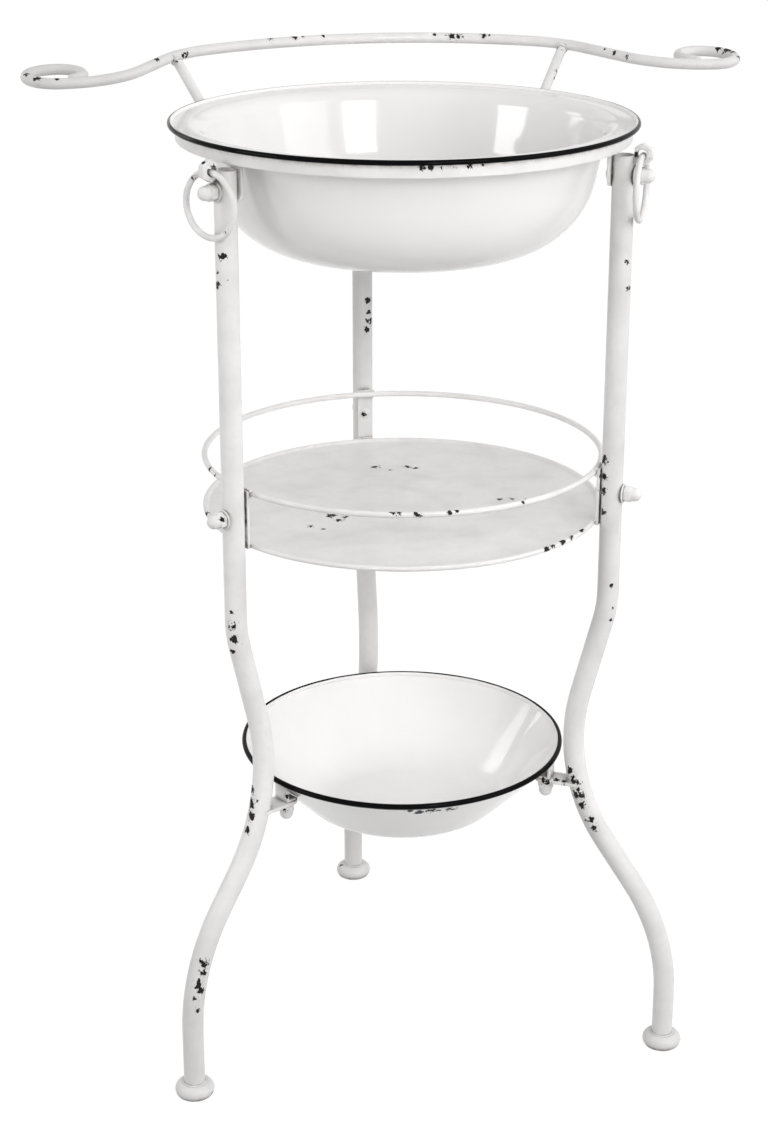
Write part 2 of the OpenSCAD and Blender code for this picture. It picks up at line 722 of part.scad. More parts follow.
lug(left_dir);  // lug_left
lug(right_dir);  // lug_right
lug(back_dir);  // lug_back
bowl_studs();
bowl_washers();
bowl_acorn_nuts();
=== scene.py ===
# %% [markdown]
# # A white iron wash stand, dressed for its picture
# Three bent tubes carry a hoop with an enamel basin, a towel rail, a flat tray with a wire guard
# and a small lower bowl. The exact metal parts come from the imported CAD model. This lesson turns
# the enamel ware, the feet and the nuts again with softer edges, adds the weld beads, and spends
# most of its effort on two finishes: chipped white paint over dark iron, and glossy enamel with a
# black rim.

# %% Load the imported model
import math

import bmesh
import bpy
from mathutils import Matrix, Vector, noise


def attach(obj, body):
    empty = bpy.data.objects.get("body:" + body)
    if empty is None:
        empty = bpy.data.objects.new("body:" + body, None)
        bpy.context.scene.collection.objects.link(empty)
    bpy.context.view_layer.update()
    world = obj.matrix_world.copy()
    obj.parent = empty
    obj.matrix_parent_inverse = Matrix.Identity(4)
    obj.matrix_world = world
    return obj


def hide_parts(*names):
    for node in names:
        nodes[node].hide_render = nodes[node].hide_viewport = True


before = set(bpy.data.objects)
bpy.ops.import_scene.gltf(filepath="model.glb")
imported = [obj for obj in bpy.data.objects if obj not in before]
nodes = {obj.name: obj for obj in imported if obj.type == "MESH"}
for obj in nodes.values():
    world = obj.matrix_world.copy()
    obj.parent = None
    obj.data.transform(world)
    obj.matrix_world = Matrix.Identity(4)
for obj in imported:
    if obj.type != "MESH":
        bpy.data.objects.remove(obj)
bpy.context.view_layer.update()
scene = bpy.context.scene

# %% [markdown]
# ## The camera
# The stand is seen from the front, a little from the left and from above, with a long lens.
# The three feet and the level rims fix the place: these are the values that bring them all onto
# the picture. The frame is upright, so the 36 mm sensor spans its height.

# %% Camera
camera_data = bpy.data.cameras.new("camera")
camera = bpy.data.objects.new("camera", camera_data)
scene.collection.objects.link(camera)
camera.location = (-0.3931, -1.8850, 1.1776)
camera.rotation_euler = (math.radians(69.20), 0, math.radians(-11.28))
camera_data.lens = 71.46
camera_data.sensor_width = 36
camera_data.clip_end = 100
scene.camera = camera
scene.view_settings.view_transform = "Standard"
print("lens:", camera_data.lens)

# %% [markdown]
# ## Small helpers for node materials
# A node tree is easiest to read as a list of steps. `Steps` adds a node, sets its plain values and
# links its inputs in one line, so that each finish below reads from top to bottom.


# %% Node helper
class Steps:
    def __init__(self, tree):
        self.tree = tree

    def add(self, kind, links=None, **values):
        """Add a node; links gives each input a plain value or another node's output."""
        node = self.tree.nodes.new(kind)
        for name, value in values.items():
            setattr(node, name, value)
        for socket, source in (links or {}).items():
            target = node.inputs[socket]
            if isinstance(source, bpy.types.NodeSocket):
                self.tree.links.new(source, target)
            else:
                target.default_value = source
        return node

    def maths(self, operation, a, b):
        return self.add("ShaderNodeMath", {0: a, 1: b}, operation=operation).outputs[0]

    def vector(self, operation, a, b=(0, 0, 0)):
        return self.add("ShaderNodeVectorMath", {0: a, 1: b}, operation=operation)

    def ramp(self, value, low, high, to_low=0.0, to_high=1.0):
        step = self.add("ShaderNodeMapRange", {0: value, 1: low, 2: high, 3: to_low, 4: to_high})
        return step.outputs[0]

    def noise(self, vector, scale, detail, roughness=0.5):
        return self.add("ShaderNodeTexNoise", {
            "Vector": vector, "Scale": scale, "Detail": detail, "Roughness": roughness}).outputs[0]

    def mix(self, factor, a, b):
        """Mix two colours: sockets 6 and 7 are the colour pair of the mix node."""
        return self.add("ShaderNodeMix", {0: factor, 6: a, 7: b}, data_type="RGBA").outputs[2]


def new_material(name):
    """A material, its steps, its shader and the point on the object it is asked about."""
    material = bpy.data.materials.new(name)
    material.use_nodes = True
    steps = Steps(material.node_tree)
    shader = material.node_tree.nodes["Principled BSDF"]
    place = steps.add("ShaderNodeTexCoord").outputs["Object"]
    return material, steps, shader, place


# %% [markdown]
# ## Flakes
# Chips are not spread evenly. They sit in small clusters at edges and bends: one or two bigger
# flakes with a few crumbs round them, black, sharp and ragged. A noise cut at a level gives ragged
# islands, so two noises, a coarse and a fine one, are cut, and a list of places lowers the level
# near each of them: islands run together in the middle of a cluster and thin out round it.

# %% Flake mask
# For each noise: scale, detail, the level it is cut at, how far a place lowers that, and the reach.
FLAKES = ((230.0, 4.0, 0.80, 0.365, 1.05), (720.0, 2.0, 0.84, 0.27, 1.5))
FLAKE_ROUGHNESS = 0.62
FLAKE_STRETCH = (1, 1, 0.75)
CORE_SHARE = 0.2


def nearness(steps, place, clusters, spread):
    """How near a point is to any of the places: 1 in their cores, 0 past their reach."""
    near = 0.0
    for x, y, z, reach in clusters:
        gap = steps.vector("DISTANCE", place, (x / 1000, y / 1000, z / 1000)).outputs["Value"]
        close = steps.ramp(gap, spread * reach / 1000, reach * CORE_SHARE / 1000)
        near = steps.maths("MAXIMUM", near, close)
    return near


def flake_mask(steps, place, clusters):
    """1 where the paint is gone, 0 elsewhere."""
    long = steps.vector("MULTIPLY", place, FLAKE_STRETCH).outputs[0]
    mask = 0.0
    for scale, detail, level, pull, spread in FLAKES:
        near = nearness(steps, place, clusters, spread)
        islands = steps.noise(long, scale, detail, FLAKE_ROUGHNESS)
        total = steps.maths("ADD", islands, steps.maths("MULTIPLY", near, pull))
        mask = steps.maths("MAXIMUM", mask, steps.maths("GREATER_THAN", total, level))
    return mask


# %% [markdown]
# ## White paint over iron
# The iron was brushed with thick white paint. The film has slow brush waves and a fine grain, and a
# step down to the dull black iron wherever a flake is gone. The creases, where two pieces meet, get
# painted shade and grime: an ambient occlusion node finds those places by itself, and a smudge
# noise makes the darkening patchy. A fade along one direction darkens a long piece slowly towards
# one end.

# %% The paint's finish
PAINT_WHITE = (0.87, 0.855, 0.845, 1)
PAINT_SHADE = (0.78, 0.765, 0.75, 1)
BARE_IRON = (0.006, 0.005, 0.005, 1)
IRON_BROWN = (0.018, 0.012, 0.009, 1)
# Grime and painted shade for the creases, and how far the occlusion looks for them.
GRIME_AND_CREASE_SHADE = (0.17, 0.15, 0.13, 1)
CREASE_SHADE_REACH = 0.008
# The colour a piece fades to along one direction: painted shade on the rail and the back leg, a
# plain darkening on the left leg.
FADE_DARK = (0.35, 0.34, 0.33, 1)
# Scale, detail and roughness of the noises.
BRUSH_WAVES = (30.0, 3.0, 0.55)
GRAIN = (750.0, 2.0, 0.5)
SMUDGE = (140.0, 4.0, 0.65)
PAINT_SHINE = 0.25
PAINT_ROUGHNESS = (0.28, 0.42)
IRON_ROUGHNESS = 0.75
FILM_STEP = 0.0007
DENT_REACH = 1.6


def toned(colour, tone):
    """A colour made darker by a factor."""
    return tuple(tone * part for part in colour[:3]) + (1,)


def chipped_paint(name, clusters=(), dirt=0.0, tone=1.0, shade_in_creases=1.0, fade=None):
    material, steps, shader, place = new_material(name)
    shader.inputs["Specular IOR Level"].default_value = PAINT_SHINE
    near = nearness(steps, place, clusters, DENT_REACH)
    chip = flake_mask(steps, place, clusters) if clusters else 0.0
    waves = steps.noise(place, *BRUSH_WAVES)
    grain = steps.noise(place, *GRAIN)
    smudge = steps.noise(place, *SMUDGE)
    grey = steps.maths("MULTIPLY", steps.ramp(smudge, 0.50 - dirt, 0.78 - dirt), 0.5)
    grey = steps.maths("MAXIMUM", grey, steps.ramp(waves, 0.42, 0.75))
    film = steps.mix(grey, toned(PAINT_WHITE, tone), toned(PAINT_SHADE, tone))
    # Ambient occlusion paints shade into the creases, made patchy like grime by the smudge noise.
    hidden = steps.add("ShaderNodeAmbientOcclusion", {"Distance": CREASE_SHADE_REACH}, samples=6)
    crease = hidden.outputs["AO"]
    patchy = steps.ramp(smudge, 0.38 - dirt, 0.62 - dirt, 0.3, 1.0)
    crease_shade = steps.maths("MULTIPLY", steps.ramp(crease, 0.80, 0.30, 0.0, shade_in_creases), patchy)
    film = steps.mix(crease_shade, film, GRIME_AND_CREASE_SHADE)
    # The fade darkens the paint along one direction; on the rail and the back leg that is painted
    # shade.
    if fade:
        direction, own_colour_at, darkest_at, amount = fade
        way = steps.vector("DOT_PRODUCT", place, direction).outputs["Value"]
        film = steps.mix(steps.ramp(way, own_colour_at, darkest_at, 0.0, amount), film, FADE_DARK)
    iron = steps.mix(grain, BARE_IRON, IRON_BROWN)
    colour = steps.mix(chip, film, iron)
    steps.tree.links.new(colour, shader.inputs["Base Color"])
    gloss = steps.ramp(waves, 0.3, 0.7, *PAINT_ROUGHNESS)
    rough = steps.maths("MAXIMUM", gloss, steps.maths("MULTIPLY", chip, IRON_ROUGHNESS))
    steps.tree.links.new(rough, shader.inputs["Roughness"])
    depth = steps.maths("ADD", steps.maths("MULTIPLY", near, 0.5), 0.10)
    pits = steps.maths("MULTIPLY", grain, depth)
    height = steps.maths("SUBTRACT", steps.maths("ADD", waves, pits), chip)
    bump = steps.add("ShaderNodeBump", {"Strength": 0.5, "Distance": FILM_STEP, "Height": height})
    steps.tree.links.new(bump.outputs[0], shader.inputs["Normal"])
    return material


# %% [markdown]
# ## Enamel with a black rim
# Enamel is glass on steel: nearly white, very smooth, with a slow orange-peel wave that only shows
# in its reflections. The rim was dipped in black. A ring test on the distance from the axis paints
# it, with a little noise so that the line is hand made.


# %% The enamel's finish
ENAMEL_WHITE = (0.92, 0.91, 0.90, 1)
# The basin's white is the enamel's white made darker: painted shade on the whole basin pressing.
BASIN_SHADED_WHITE = (0.86, 0.85, 0.84, 1)
ENAMEL_BLACK = (0.0025, 0.0025, 0.003, 1)
ENAMEL_CLOUD = 0.965
ENAMEL_ROUGHNESS = (0.06, 0.11)
CHIP_ROUGHNESS = 0.7
RIM_WANDER = 0.0009
RIM_BLEND = 0.0003
PEEL_DEPTH = 0.0006


def enamel(name, black_from, clusters=(), shine=0.5, white=ENAMEL_WHITE):
    material, steps, shader, place = new_material(name)
    shader.inputs["Specular IOR Level"].default_value = shine
    flat = steps.vector("MULTIPLY", place, (1, 1, 0)).outputs[0]
    out = steps.vector("LENGTH", flat).outputs["Value"]
    wander = steps.maths("MULTIPLY", steps.noise(place, 30.0, 2.0), RIM_WANDER)
    black = steps.ramp(steps.maths("ADD", out, wander), black_from, black_from + RIM_BLEND)
    chip = flake_mask(steps, place, clusters) if clusters else 0.0
    black = steps.maths("MAXIMUM", black, chip)
    cloud = steps.noise(place, 14.0, 2.0)
    glass = steps.mix(steps.ramp(cloud, 0.35, 0.75), white, toned(white, ENAMEL_CLOUD))
    colour = steps.mix(black, glass, ENAMEL_BLACK)
    steps.tree.links.new(colour, shader.inputs["Base Color"])
    gloss = steps.ramp(cloud, 0.3, 0.7, *ENAMEL_ROUGHNESS)
    rough = steps.maths("MAXIMUM", gloss, steps.maths("MULTIPLY", chip, CHIP_ROUGHNESS))
    steps.tree.links.new(rough, shader.inputs["Roughness"])
    peel = steps.maths("ADD", steps.noise(place, 45.0, 1.0), steps.maths("MULTIPLY", cloud, 2.0))
    bump = steps.add("ShaderNodeBump", {"Strength": 0.25, "Distance": PEEL_DEPTH, "Height": peel})
    steps.tree.links.new(bump.outputs[0], shader.inputs["Normal"])
    return material


# %% [markdown]
# ## Where the chips are
# Each list gives a cluster's middle and reach in millimetres, in the stand's own frame. They follow
# the wear of the real stand: the outer sides of the bends, the rims that get bumped, the places
# where something was set down hard.

# %% Chip places
RAIL_CHIPS = [
    (-309, 91, 888, 8), (-302, 77, 886, 7), (-285, 71, 886, 4), (-194, 135, 891, 6),
    (-177, 156, 886, 7), (-166, 166, 889, 8), (-83, 204, 896, 6), (-59, 209, 897, 7),
    (-51, 211, 897, 5), (-32, 213, 897, 4), (72, 207, 896, 4), (87, 204, 895, 7),
    (95, 202, 895, 7), (117, 198, 896, 6), (122, 197, 896, 4), (213, 128, 890, 4),
    (219, 117, 887, 5), (227, 104, 885, 4), (319, 116, 890, 8), (324, 108, 889, 10),
    (326, 98, 888, 8), (325, 84, 885, 6)]
STRUT_CHIPS = [(-174, 158, 884, 7), (181, 164, 884, 7), (172, 146, 868, 6), (169, 142, 863, 5)]
LEFT_LEG_CHIPS = [
    (-170, -104, 767, 7), (-174, -99, 754, 4), (-174, -100, 742, 7), (-167, -105, 747, 3),
    (-170, -104, 459, 4), (-171, -103, 446, 9), (-168, -104, 433, 8), (-170, -101, 421, 6),
    (-154, -85, 280, 7), (-155, -89, 269, 10), (-157, -91, 258, 9), (-160, -94, 245, 7),
    (-205, -129, 135, 9), (-207, -130, 126, 8), (-212, -132, 117, 9), (-210, -131, 109, 7),
    (-215, -134, 102, 5), (-214, -134, 91, 5)]
RIGHT_LEG_CHIPS = [
    (169, -105, 748, 5), (171, -104, 725, 6), (157, -99, 573, 10), (157, -100, 557, 8),
    (157, -99, 544, 8), (157, -100, 526, 6), (166, -105, 458, 4), (168, -104, 437, 4),
    (167, -103, 425, 4), (138, -90, 274, 7), (141, -92, 265, 10), (145, -95, 251, 11),
    (148, -97, 241, 9), (155, -101, 227, 8), (159, -103, 219, 8)]
BACK_LEG_CHIPS = [
    (4, 183, 653, 8), (5, 184, 641, 6), (6, 184, 631, 9), (2, 182, 624, 7), (-1, 177, 541, 5)]
GUARD_CHIPS = [
    (-177, -26, 562, 6), (-174, -42, 560, 7), (-44, -171, 564, 7), (-39, -172, 563, 6),
    (-26, -175, 563, 6), (-22, -178, 562, 6), (2, -178, 563, 5), (8, -178, 563, 4),
    (68, -165, 563, 4)]
TRAY_CHIPS = [
    (-5, 98, 514, 8), (6, 86, 514, 6), (24, 92, 514, 7), (30, 87, 514, 6), (-70, -30, 514, 10),
    (-65, -42, 514, 7), (-59, -35, 514, 8), (-93, -53, 514, 7), (-84, -62, 514, 5),
    (86, -15, 514, 6), (98, -17, 514, 7), (110, -20, 514, 5), (93, -152, 516, 8),
    (99, -148, 516, 7), (110, -140, 516, 7), (120, -131, 516, 6), (134, -116, 517, 7),
    (-179, -8, 515, 9), (-181, 2, 515, 6)]
HOOP_CHIPS = [
    (-25, -192, 850, 6), (-19, -192, 850, 5), (-11, -193, 849, 4), (0, -193, 850, 4),
    (12, -193, 850, 5), (22, -192, 850, 4)]
LUG_CHIPS = [
    (-123, -80, 268, 6), (-123, -76, 252, 5), (118, -79, 259, 9), (127, -81, 261, 8),
    (134, -85, 261, 7)]
EYE_CHIPS = [
    (-175, -104, 839, 5), (-190, -93, 829, 5), (173, -103, 837, 5), (177, -108, 833, 4),
    (-184, -104, 843, 4), (-180, -100, 830, 5), (-186, -103, 836, 4), (-196, -112, 800, 4),
    (-170, -120, 790, 4), (179, -102, 841, 5), (184, -107, 834, 4), (186, -108, 826, 4)]
FOOT_CHIPS = [(-204, -133, 2, 7), (238, -135, 3, 8), (-14, 254, 12, 5)]
NUT_CHIPS = [(-174, -101, 531, 5), (-177, -109, 545, 5), (-3, 200, 547, 7), (-176, -101, 824, 5)]
BOWL_CHIPS = [
    (-31, -146, 278, 6), (-22, -144, 275, 9), (-12, -142, 272, 12), (-5, -143, 273, 10),
    (3, -143, 273, 7), (13, -142, 272, 10), (18, -141, 272, 9)]

# %% Build the finishes
# A fade: its direction, where along it the piece keeps its colour and where it is fully darkened,
# in metres, and how much. On the rail it is painted shade at the left end, on the back leg painted
# shadow of the basin over its upper part; the left leg only grows darker towards the bottom.
RAIL_PAINTED_SHADE = ((1, 0, 0), -0.05, -0.26, 0.2)
LEFT_LEG_LOW_FADE = ((0, 0, 1), 0.24, 0.10, 0.25)
BACK_LEG_PAINTED_SHADOW = ((0, 0, 1), 0.56, 0.64, 0.4)
# A tone below 1 makes a darker copy of the same white paint. On the back leg it is painted shadow
# of the basin and on the tray painted shade under the basin; on the rail, the struts, the right leg
# and the feet it only darkens the paint.
paint = chipped_paint("white_paint")
paint_rail = chipped_paint(
    "white_paint_rail", RAIL_CHIPS, dirt=0.03, tone=0.88, fade=RAIL_PAINTED_SHADE)
paint_strut = chipped_paint("white_paint_strut", STRUT_CHIPS, dirt=0.05, tone=0.90)
paint_left_leg = chipped_paint("white_paint_left_leg", LEFT_LEG_CHIPS, fade=LEFT_LEG_LOW_FADE)
paint_right_leg = chipped_paint("white_paint_right_leg", RIGHT_LEG_CHIPS, tone=0.92)
paint_back_leg = chipped_paint(
    "white_paint_back_leg", BACK_LEG_CHIPS, dirt=0.02, tone=0.87, fade=BACK_LEG_PAINTED_SHADOW)
paint_guard = chipped_paint("white_paint_guard", GUARD_CHIPS)
paint_tray = chipped_paint("white_paint_tray", TRAY_CHIPS, dirt=0.03, tone=0.97)
paint_hoop = chipped_paint("white_paint_hoop", HOOP_CHIPS)
paint_tab = chipped_paint("white_paint_tab", shade_in_creases=0.4)
paint_lug = chipped_paint("white_paint_lug", LUG_CHIPS, dirt=0.08)
paint_eye = chipped_paint("white_paint_eye", EYE_CHIPS, dirt=0.10)
paint_foot = chipped_paint("white_paint_foot", FOOT_CHIPS, dirt=0.05, tone=0.86)
paint_nut = chipped_paint("white_paint_nut", NUT_CHIPS, dirt=0.10)
RIM_SHINE = 0.04
basin_enamel = enamel("white_enamel_basin", black_from=0.1981, white=BASIN_SHADED_WHITE)
bowl_enamel = enamel("white_enamel_bowl", black_from=0.1462, clusters=BOWL_CHIPS)
basin_rim = enamel("black_rim_basin", black_from=0.1977, shine=RIM_SHINE)
bowl_rim = enamel("black_rim_bowl", black_from=0.1458, shine=RIM_SHINE)
print("materials:", len(bpy.data.materials))

# %% [markdown]
# ## Give the exact CAD parts their paint
# The tubes, the rail, its struts, the guard ring and the loose rings already have the right shape,
# so they stay and only change their finish. Nodes without a line of their own get the plain paint.

# %% Paint the CAD parts
CAD_PAINT = {
    "leg_left": paint_left_leg, "leg_right": paint_right_leg, "leg_back": paint_back_leg,
    "towel_rail": paint_rail, "rail_strut_left": paint_strut, "rail_strut_right": paint_strut,
    "guard_ring": paint_guard, "ring_left": paint_eye, "ring_right": paint_eye,
    "shelf_bolts": paint_back_leg}


def repaint(node, material):
    for slot in nodes[node].material_slots:
        slot.material = material


for node in nodes:
    repaint(node, CAD_PAINT.get(node, paint))
print("painted:", len(nodes))

# %% [markdown]
# ## From a bmesh to a finished piece
# Every new piece ends the same way: its mesh gets smooth shading with sharp creases kept, one
# finish, a body to ride on, and the CAD parts it stands for.


# %% Finish a piece
def piece(name, shape, material, body="stand", stands_for=(), crease=38):
    """Make an object of a shape; edges that turn more than crease degrees stay sharp."""
    bmesh.ops.recalc_face_normals(shape, faces=shape.faces)
    mesh = bpy.data.meshes.new(name)
    shape.to_mesh(mesh)
    shape.free()
    mesh.shade_smooth()
    mesh.set_sharp_from_angle(angle=math.radians(crease))
    mesh.materials.append(material)
    made = bpy.data.objects.new(name, mesh)
    scene.collection.objects.link(made)
    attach(made, body)
    if stands_for:
        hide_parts(*stands_for)
    print(f"{name}: {len(mesh.polygons)} faces")


def arc(centre, radius, start, end, count):
    """Points on an arc in the profile's plane, from start to end degrees."""
    turn = [math.radians(start + (end - start) * i / count) for i in range(count + 1)]
    return [(centre[0] + radius * math.cos(a), centre[1] + radius * math.sin(a)) for a in turn]


# %% [markdown]
# ## Turned work
# Basin, bowl, tray, feet, washers and the domes of the nuts are all bodies of revolution. On the
# real object the sheet was pressed or the foot turned on a lathe; here `bmesh.ops.spin` does the
# same with a profile drawn in millimetres. Merged points at the axis close the poles.


# %% Spin a profile
DOUBLES = 1e-7


def turned(profile, steps, closed=False):
    """Spin a profile of radius and height round the Z axis; a closed one makes a ring."""
    shape = bmesh.new()
    points = [shape.verts.new((x / 1000, 0, z / 1000)) for x, z in profile]
    pairs = list(zip(points, points[1:]))
    if closed:
        pairs.append((points[-1], points[0]))
    edges = [shape.edges.new(pair) for pair in pairs]
    bmesh.ops.spin(
        shape, geom=points + edges, cent=(0, 0, 0), axis=(0, 0, 1), angle=math.tau,
        steps=steps, use_merge=True, use_duplicate=False)
    bmesh.ops.remove_doubles(shape, verts=shape.verts, dist=DOUBLES)
    return shape


# %% [markdown]
# ## The upper basin
# The basin is a 1.6 mm steel pressing: a flat base, a wide corner, a nearly upright wall, and a
# small shoulder that turns out into a flange. Two offset profiles, inside and outside, joined at
# the rim, give the sheet its thickness directly. The rolled rim is a ring of its own.

# %% Press the upper basin
SHEET = 1.6
FLANGE_Z = 852.34
NECK_R, SHOULDER_R, DRAFT = 170.8, 13.0, 11.6
BASE_Z, CORNER_R = 744.3, 78.0
RIM_R, RIM_Z, RIM_BEAD = 197.8, 854.1, 2.2
RIM_CLOSES_AT = 330
BASIN_STEPS, BOWL_STEPS = 192, 160


def basin_profile():
    """The outside from the middle of the base to the rim, then the inside back again."""
    lean = math.radians(DRAFT)
    shoulder = (NECK_R + SHOULDER_R * math.cos(lean), FLANGE_Z - SHOULDER_R)
    wall_top = (NECK_R, shoulder[1] + SHOULDER_R * math.sin(lean))
    corner_z = BASE_Z + CORNER_R
    wall_end_z = corner_z - CORNER_R * math.sin(lean)
    wall_end_r = wall_top[0] - (wall_top[1] - wall_end_z) * math.tan(lean)
    corner = (wall_end_r - CORNER_R * math.cos(lean), corner_z)
    outside = [(0, BASE_Z), (corner[0] / 2, BASE_Z)]
    outside += arc(corner, CORNER_R, -90, -DRAFT, 22)
    outside += arc(shoulder, SHOULDER_R, 180 - DRAFT, 90, 10)
    outside += [(RIM_R, FLANGE_Z)]
    inside = [(RIM_R, FLANGE_Z + SHEET)]
    inside += arc(shoulder, SHOULDER_R + SHEET, 90, 180 - DRAFT, 10)
    inside += arc(corner, CORNER_R - SHEET, -DRAFT, -90, 22)
    inside += [(corner[0] / 2, BASE_Z + SHEET), (0, BASE_Z + SHEET)]
    return outside + inside


piece("basin_pressing", turned(basin_profile(), BASIN_STEPS), basin_enamel, "upper_basin",
      ["upper_basin"], crease=60)
rim = turned(arc((RIM_R, RIM_Z), RIM_BEAD, 0, RIM_CLOSES_AT, 11), BASIN_STEPS, closed=True)
piece("basin_rolled_rim", rim, basin_rim, "upper_basin", ["upper_basin"],
      crease=60)

# %% [markdown]
# ## The lower bowl
# The small bowl has the same build with a straight sloping wall that runs up into the rolled rim.

# %% Press the lower bowl
BOWL_BEAD_R, BOWL_RIM_Z, BOWL_BEAD = 147.0, 280.0, 2.5
BOWL_BASE_Z, BOWL_CORNER_R, BOWL_DRAFT = 212.0, 46.0, 44.5


def bowl_profile():
    lean = math.radians(BOWL_DRAFT)
    wall_top = (BOWL_BEAD_R, BOWL_RIM_Z - BOWL_BEAD)
    corner_z = BOWL_BASE_Z + BOWL_CORNER_R
    wall_end_z = corner_z - BOWL_CORNER_R * math.sin(lean)
    wall_end_r = wall_top[0] - (wall_top[1] - wall_end_z) * math.tan(lean)
    corner = (wall_end_r - BOWL_CORNER_R * math.cos(lean), corner_z)
    inward = (-SHEET * math.cos(lean), SHEET * math.sin(lean))
    outside = [(0, BOWL_BASE_Z), (corner[0] / 2, BOWL_BASE_Z)]
    outside += arc(corner, BOWL_CORNER_R, -90, -BOWL_DRAFT, 16) + [wall_top]
    inside = [(wall_top[0] + inward[0], wall_top[1] + inward[1])]
    inside += arc(corner, BOWL_CORNER_R - SHEET, -BOWL_DRAFT, -90, 16)
    inside += [(corner[0] / 2, BOWL_BASE_Z + SHEET), (0, BOWL_BASE_Z + SHEET)]
    return outside + inside


piece("bowl_pressing", turned(bowl_profile(), BOWL_STEPS), bowl_enamel, "stand", ["lower_bowl"],
      crease=60)
rim = turned(
    arc((BOWL_BEAD_R, BOWL_RIM_Z), BOWL_BEAD, 0, RIM_CLOSES_AT, 11), BOWL_STEPS, closed=True)
piece("bowl_rolled_rim", rim, bowl_rim, "stand", ["lower_bowl"], crease=60)

# %% [markdown]
# ## The tray
# A flat disc of thin sheet, its edge rolled round a wire. The fillet where the roll meets the disc
# catches the light, so the profile has one.

# %% Turn the tray
TRAY_BEAD_R, TRAY_RIM_Z, TRAY_BEAD = 176.8, 514.3, 2.3
TRAY_FLOOR_Z, TRAY_T = 512.46, 1.2
TRAY_FLAT_R, TRAY_INNER_R = 174.6, 150
FILLET = ((173.9, 0.35), (173.0, 0.0))  # radius, and rise above the sheet
tray_top_z = TRAY_FLOOR_Z + TRAY_T
tray_profile = [(0, TRAY_FLOOR_Z), (TRAY_INNER_R, TRAY_FLOOR_Z), (TRAY_FLAT_R, TRAY_FLOOR_Z)]
tray_profile += arc((TRAY_BEAD_R, TRAY_RIM_Z), TRAY_BEAD, -125, 165, 20)
tray_profile += [(radius, tray_top_z + rise) for radius, rise in FILLET]
tray_profile += [(TRAY_INNER_R, tray_top_z), (0, tray_top_z)]
piece("tray_disc", turned(tray_profile, BASIN_STEPS), paint_tray, "stand", ["tray"], crease=50)

# %% [markdown]
# ## Feet
# Each foot is a turned iron bun with a small lip on the floor and a rounded shoulder. The tube
# stands in it, and a soft bead of weld and paint closes the joint.

# %% Turn the feet
FOOT_R, FOOT_H, FOOT_LIP_R, FOOT_LIP_H = 17.8, 12.4, 16.0, 1.4
FOOT_FLOOR_Z, BUN_SHARE = 5, 0.565
FOOT_STEPS = 64
TUBE_R = 9.5
LEG_DIRECTION = {"left": 210, "right": 330, "back": 90}
FOOT_PLACE = {"left": 251.5, "right": 259.0, "back": 255.0}


def leg_frame(direction, radius, height):
    """A frame at a leg, its X outwards and its Z up; radius and height in millimetres."""
    turn = Matrix.Rotation(math.radians(direction), 4, "Z")
    return turn @ Matrix.Translation((radius / 1000, 0, height / 1000))


def at_leg(shape, direction, radius=0.0, height=0.0):
    """Move a shape that was made at the axis out to a leg."""
    bmesh.ops.transform(shape, matrix=leg_frame(direction, radius, height), verts=shape.verts)
    return shape


def foot_profile():
    bun = FOOT_H * BUN_SHARE
    low = math.degrees(math.asin((FOOT_LIP_H + 0.1 - (FOOT_H - bun)) / bun))
    points = [(0, 0), (FOOT_LIP_R - 0.5, 0), (FOOT_LIP_R, 0.4), (FOOT_LIP_R, FOOT_LIP_H)]
    points += arc((FOOT_R - bun, FOOT_H - bun), bun, low, 90, 14)
    socket = TUBE_R + 0.05
    return points + [(socket, FOOT_H), (socket, FOOT_FLOOR_Z), (0, FOOT_FLOOR_Z)]


for side, direction in LEG_DIRECTION.items():
    bun = at_leg(turned(foot_profile(), FOOT_STEPS), direction, FOOT_PLACE[side])
    piece("foot_bun_" + side, bun, paint_foot, "stand", ["foot_" + side])

# %% [markdown]
# ## Weld beads
# Where a tube stands in its foot, and where a strut meets the hoop and the rail, a bead was laid
# all round by hand and painted over. It is a thin ring that wanders: a spun circle whose points
# move along their own direction by a noise. Small as they are, these beads are what makes a welded
# joint look welded.


# %% Lay a weld bead
BEAD_SEGMENTS, BEAD_STEPS = 10, 51
BEAD_UNEVEN = 0.38


def weld_ring(radius, bead, seed):
    """A lumpy ring of bead round the Z axis, sizes in millimetres."""
    shape = bmesh.new()
    ring = bmesh.ops.create_circle(shape, segments=BEAD_SEGMENTS, radius=bead / 1000)["verts"]
    upright = Matrix.Rotation(math.pi / 2, 3, "X")
    bmesh.ops.rotate(shape, verts=ring, cent=(0, 0, 0), matrix=upright)
    bmesh.ops.translate(shape, verts=ring, vec=(radius / 1000, 0, 0))
    bmesh.ops.spin(
        shape, geom=list(ring) + list(shape.edges), cent=(0, 0, 0), axis=(0, 0, 1),
        angle=math.tau, steps=BEAD_STEPS, use_merge=True, use_duplicate=False)
    bmesh.ops.remove_doubles(shape, verts=shape.verts, dist=DOUBLES)
    for point in shape.verts:
        angle = math.atan2(point.co.y, point.co.x)
        core = Vector((math.cos(angle), math.sin(angle), 0)) * radius / 1000
        away = point.co - core
        lump = noise.noise(Vector((angle * 6, seed, point.co.z * 200)))
        point.co = core + away * (1 + BEAD_UNEVEN * lump)
    return shape


def turned_to(shape, centre, axis):
    """Turn a shape made round Z so that it sits round another axis at centre, in metres."""
    turn = Vector((0, 0, 1)).rotation_difference(Vector(axis).normalized()).to_matrix().to_4x4()
    bmesh.ops.transform(shape, matrix=Matrix.Translation(centre) @ turn, verts=shape.verts)
    return shape


def joined(shapes):
    """Several shapes in one; the single ones are used up."""
    whole = bmesh.new()
    for shape in shapes:
        part = bpy.data.meshes.new("part")
        shape.to_mesh(part)
        shape.free()
        whole.from_mesh(part)
        bpy.data.meshes.remove(part)
    return whole


